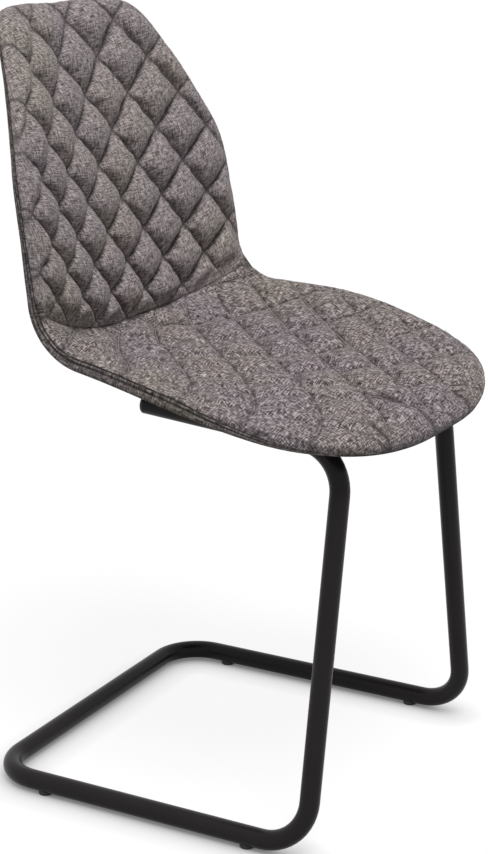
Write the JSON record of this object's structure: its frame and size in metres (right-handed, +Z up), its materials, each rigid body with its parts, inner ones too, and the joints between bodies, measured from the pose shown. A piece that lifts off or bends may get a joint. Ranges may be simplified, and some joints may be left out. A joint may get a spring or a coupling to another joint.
{
  "type": "dining chair",
  "caption": "Cantilever dining chair: a padded bucket shell quilted in diamonds, on a sled base bent from one round black tube.",
  "frame": {"origin": "on the floor, under the middle of the chair's box", "axes": "+Z up, -Y the way the sitter faces, +X to the sitter's left"},
  "size_m": [0.492, 0.5057, 0.8595],
  "materials": {
    "quilted_fabric": "coarse grey-brown melange weave, quilted in diamonds",
    "band_fabric": "the same weave, plain, with a stitched seam along each edge",
    "outer_fabric": "the same weave, stretched smooth over the shell's outside",
    "foam": "soft polyether foam",
    "plywood": "moulded plywood",
    "black_tube": "satin black powder coat",
    "black_plastic": "matt",
    "black_rubber": "matt",
    "zinc_steel": "zinc plated"
  },
  "bodies": {
    "root": {"shell_board": "plywood", "back_foam": "foam", "seat_foam": "foam", "outer_cover": "outer_fabric", "quilted_back": "quilted_fabric", "quilted_seat": "quilted_fabric", "edge_band": "band_fabric", "frame_tube": "black_tube", "near_rail_plug": "black_plastic", "far_rail_plug": "black_plastic", "front_cross_plate": "black_tube", "rear_cross_plate": "black_tube", "seat_screws": "zinc_steel", "washers": "zinc_steel", "spacer_pads": "black_rubber", "tee_nuts": "zinc_steel", "floor_glides": "black_plastic"}
  },
  "joints": []
}
